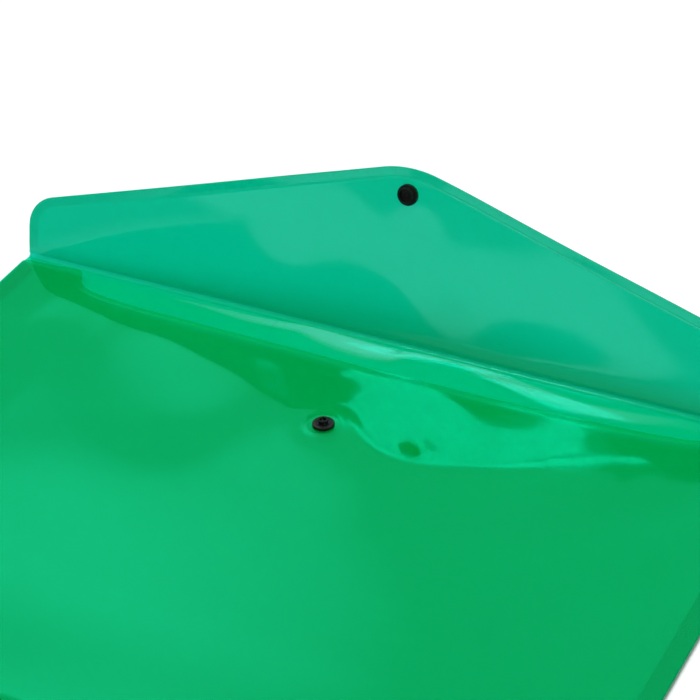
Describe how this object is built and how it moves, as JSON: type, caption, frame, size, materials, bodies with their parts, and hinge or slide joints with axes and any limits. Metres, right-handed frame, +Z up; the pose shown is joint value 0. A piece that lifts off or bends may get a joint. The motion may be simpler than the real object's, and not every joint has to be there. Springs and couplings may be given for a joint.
{
  "type": "document wallet",
  "caption": "Translucent plastic document wallet for loose A4 sheets, with a pointed flap on a double-scored crease and a press stud that holds it shut.",
  "frame": {"origin": "centre of the back panel's underside, on the table", "axes": "+X along the crease to the right seen from the bottom fold, +Y from the bottom fold towards the crease, +Z up out of the table"},
  "size_m": [0.33, 0.2548, 0.0688],
  "materials": {
    "poly_sheet": "translucent green polypropylene sheet, smooth with a fine matte grain",
    "snap_black": "black moulded plastic, polished"
  },
  "bodies": {
    "pocket": {"back_panel": "poly_sheet", "bottom_fold": "poly_sheet", "front_panel": "poly_sheet", "left_side_tab": "poly_sheet", "right_side_tab": "poly_sheet", "front_stud": "snap_black", "front_stud_cap": "snap_black"},
    "crease": {"crease_strip": "poly_sheet"},
    "flap": {"flap": "poly_sheet", "flap_socket": "snap_black", "flap_socket_cap": "snap_black"}
  },
  "joints": [
    {"name": "lower_score", "type": "hinge", "parent": "pocket", "child": "crease", "pos_m": [0, 0.1175, 0.00015], "axis": [1, 0, 0], "range_deg": [-36.9, 50.3]},
    {"name": "upper_score", "type": "hinge", "parent": "crease", "child": "flap", "pos_m": [0, 0.11909, 0.00137], "axis": [1, 0, 0], "range_deg": [-36.9, 50.3]}
  ],
  "couplings": [
    {"joint": "upper_score", "follows": "lower_score", "ratio": 1}
  ]
}
